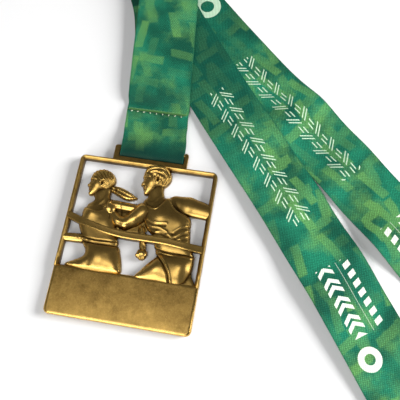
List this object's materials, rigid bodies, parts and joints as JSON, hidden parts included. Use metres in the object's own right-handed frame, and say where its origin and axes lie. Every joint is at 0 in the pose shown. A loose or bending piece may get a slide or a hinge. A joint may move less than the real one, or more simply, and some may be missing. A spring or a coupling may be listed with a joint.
{
  "type": "sports finisher medal",
  "caption": "Open-frame antique bronze finisher medal with relief runners breaking a tape, hung by a slotted tab from a sewn loop of green satin neck ribbon.",
  "frame": {"origin": "centre of the medal's flat back face, hanger tab included", "axes": "+Z is the relief side, +Y points from the blank base plate to the hanger tab, +X is to the viewer's right when looking at the relief"},
  "size_m": [0.225, 0.2573, 0.0062],
  "materials": {
    "antique_bronze": "satin",
    "ribbon_satin": "satin",
    "sewing_thread": "satin"
  },
  "bodies": {
    "neck_ribbon": {"front_strand": "ribbon_satin", "right_strand": "ribbon_satin", "neck_end": "ribbon_satin", "left_strand": "ribbon_satin", "back_strand": "ribbon_satin"},
    "hanger_loop": {"ribbon_loop": "ribbon_satin", "needle_thread": "sewing_thread", "bobbin_thread": "sewing_thread"},
    "medal": {"left_rail": "antique_bronze", "top_rail": "antique_bronze", "right_rail": "antique_bronze", "base_plate": "antique_bronze", "hanger_tab": "antique_bronze", "woman_runner": "antique_bronze", "woman_ponytail": "antique_bronze", "woman_lead_arm": "antique_bronze", "woman_rear_arm": "antique_bronze", "man_runner": "antique_bronze", "man_front_arm": "antique_bronze", "man_rear_arm": "antique_bronze", "man_low_hand": "antique_bronze", "finish_tape": "antique_bronze"}
  },
  "joints": [
    {"name": "ribbon_fold", "type": "hinge", "parent": "neck_ribbon", "child": "hanger_loop", "pos_m": [0, 0.06275, 0.0006], "axis": [-1, 0, 0], "range_deg": [-90, 90]},
    {"name": "medal_swing", "type": "hinge", "parent": "hanger_loop", "child": "medal", "pos_m": [0, 0.03995, 0.0018], "axis": [-1, 0, 0], "range_deg": [-90, 90]}
  ]
}
